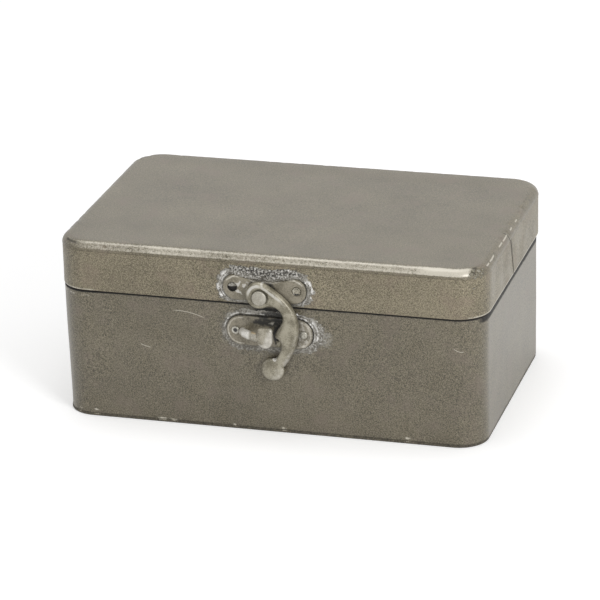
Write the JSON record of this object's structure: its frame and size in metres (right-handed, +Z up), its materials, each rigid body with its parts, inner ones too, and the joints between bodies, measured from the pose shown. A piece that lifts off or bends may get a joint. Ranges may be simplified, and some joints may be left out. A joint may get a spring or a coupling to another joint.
{
  "type": "hinged metal box",
  "caption": "Small rectangular sheet-metal box with rounded corners, a hinged lid that closes over an inner collar, and a swinging hook latch with a catch on the front.",
  "frame": {"origin": "centre of the case's underside, on the surface that the box stands on", "axes": "+X to the box's right as seen from the front, +Y towards the hinges, +Z up; the latch faces -Y"},
  "size_m": [0.1468, 0.1053, 0.0625],
  "materials": {
    "case_paint": "aged grey-olive metallic paint, satin, fine speckle",
    "lid_paint": "aged grey-olive metallic paint, satin, worn bright along the edges",
    "bare_sheet": "dull tinned sheet",
    "latch_casting": "cast metal, rubbed bright on its high places",
    "fittings": "dull aged plate",
    "solder": "rough grey and white oxidised solder"
  },
  "bodies": {
    "case": {"base_plate": "case_paint", "case_wall": "case_paint", "rim_collar": "bare_sheet", "base_solder": "solder", "case_seam_solder": "solder", "catch_plate": "fittings", "catch": "latch_casting", "catch_plate_pins": "fittings", "catch_plate_solder": "solder", "hinge_left_case_leaf": "fittings", "hinge_right_case_leaf": "fittings", "hinge_pins": "fittings", "hinge_case_solder": "solder"},
    "lid": {"lid_top": "lid_paint", "lid_skirt": "lid_paint", "lid_edge_solder": "solder", "lid_seam_solder": "solder", "latch_plate": "fittings", "latch_plate_pin": "fittings", "latch_plate_solder": "solder", "hook_rivet": "latch_casting", "hinge_left_lid_leaf": "fittings", "hinge_right_lid_leaf": "fittings", "hinge_lid_solder": "solder"},
    "hook": {"hook": "latch_casting"}
  },
  "joints": [
    {"name": "lid_hinge", "type": "hinge", "parent": "case", "child": "lid", "pos_m": [0, 0.0492, 0.04535], "axis": [-1, 0, 0], "range_deg": [0, 190]},
    {"name": "hook_swing", "type": "hinge", "parent": "lid", "child": "hook", "pos_m": [-0.00115, -0.0474, 0.0493], "axis": [0, -1, 0], "range_deg": [0, 265]}
  ]
}
